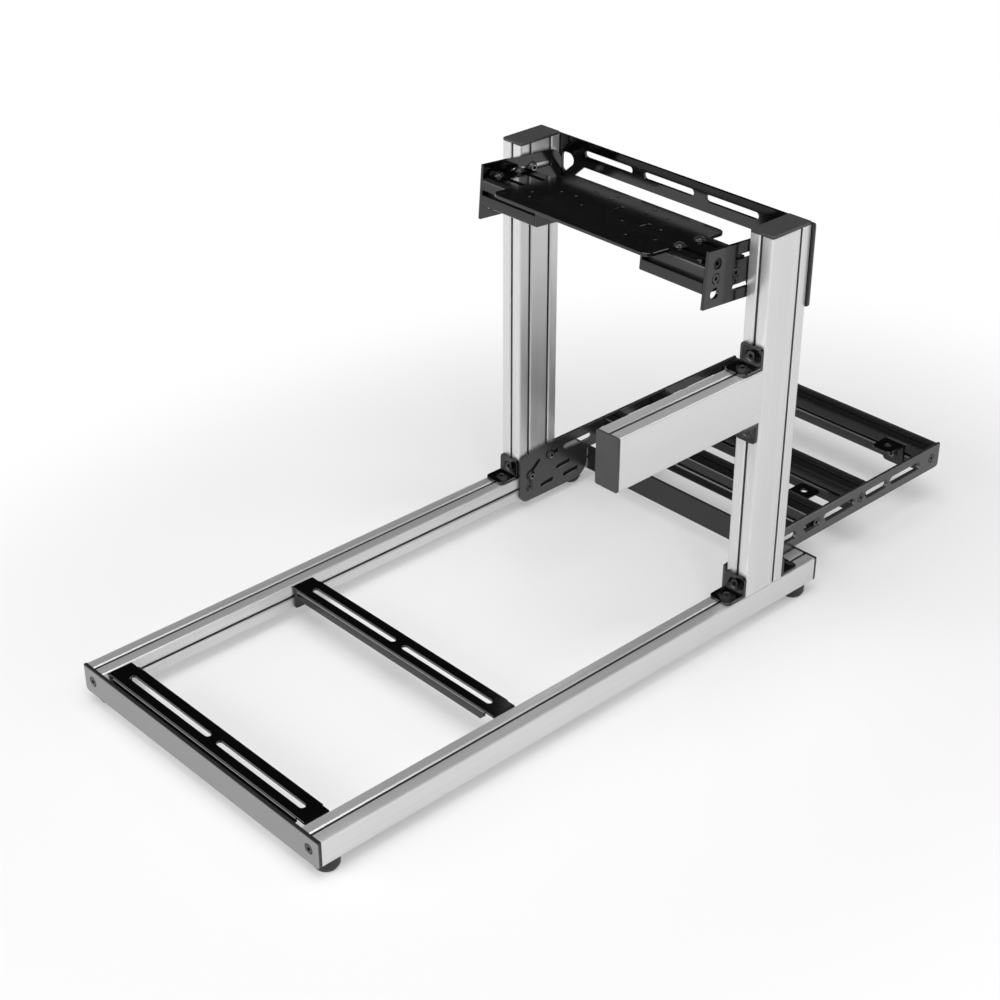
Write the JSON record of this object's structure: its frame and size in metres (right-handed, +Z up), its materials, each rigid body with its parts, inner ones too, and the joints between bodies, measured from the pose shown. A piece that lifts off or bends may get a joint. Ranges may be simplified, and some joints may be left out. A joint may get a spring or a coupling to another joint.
{
  "type": "sim racing cockpit frame",
  "caption": "Open floor-standing frame of slotted aluminium profile that carries a seat, a steering wheel base, a pedal set and a shifter.",
  "frame": {"origin": "middle of the outline on the floor, under the feet", "axes": "+X across the frame to the side with the arm, +Y from the seat end to the pedal end, +Z up"},
  "size_m": [0.5218, 1.3064, 0.6203],
  "materials": {
    "silver_profile": "satin anodised",
    "black_profile": "satin black anodised",
    "black_steel": "semi-gloss black powder coat",
    "grey_caps": "matt",
    "rubber_feet": "matt"
  },
  "bodies": {
    "root": {"arm_bracket_lower": "black_steel", "arm_bracket_upper": "black_steel", "base_rail_left": "silver_profile", "base_rail_right": "silver_profile", "corner_bracket_front_left": "black_steel", "corner_bracket_front_right": "black_steel", "corner_bracket_rear_left": "black_steel", "corner_bracket_rear_right": "black_steel", "end_plate_front": "black_steel", "end_plate_rear": "black_steel", "foot_front_left": "rubber_feet", "foot_front_right": "rubber_feet", "foot_rear_left": "rubber_feet", "foot_rear_right": "rubber_feet", "pedal_bracket_front_left": "black_steel", "pedal_bracket_front_right": "black_steel", "pedal_bracket_rear_left": "black_steel", "pedal_bracket_rear_right": "black_steel", "pedal_crossbar_front": "black_profile", "pedal_crossbar_middle": "black_profile", "pedal_crossbar_rear": "black_profile", "pedal_side_plate_left": "black_steel", "pedal_side_plate_right": "black_steel", "seat_crossmember_front": "black_steel", "seat_crossmember_rear": "black_steel", "side_arm": "silver_profile", "side_arm_cap": "grey_caps", "top_cross_beam": "black_steel", "upright_cap_left": "grey_caps", "upright_cap_right": "grey_caps", "upright_left": "silver_profile", "upright_right": "silver_profile", "wheel_bar_cap_left": "grey_caps", "wheel_bar_cap_right": "grey_caps", "wheel_bar_left": "black_profile", "wheel_bar_right": "black_profile", "wheel_plate": "black_steel", "wheel_side_plate_left": "black_steel", "wheel_side_plate_right": "black_steel"}
  },
  "joints": []
}
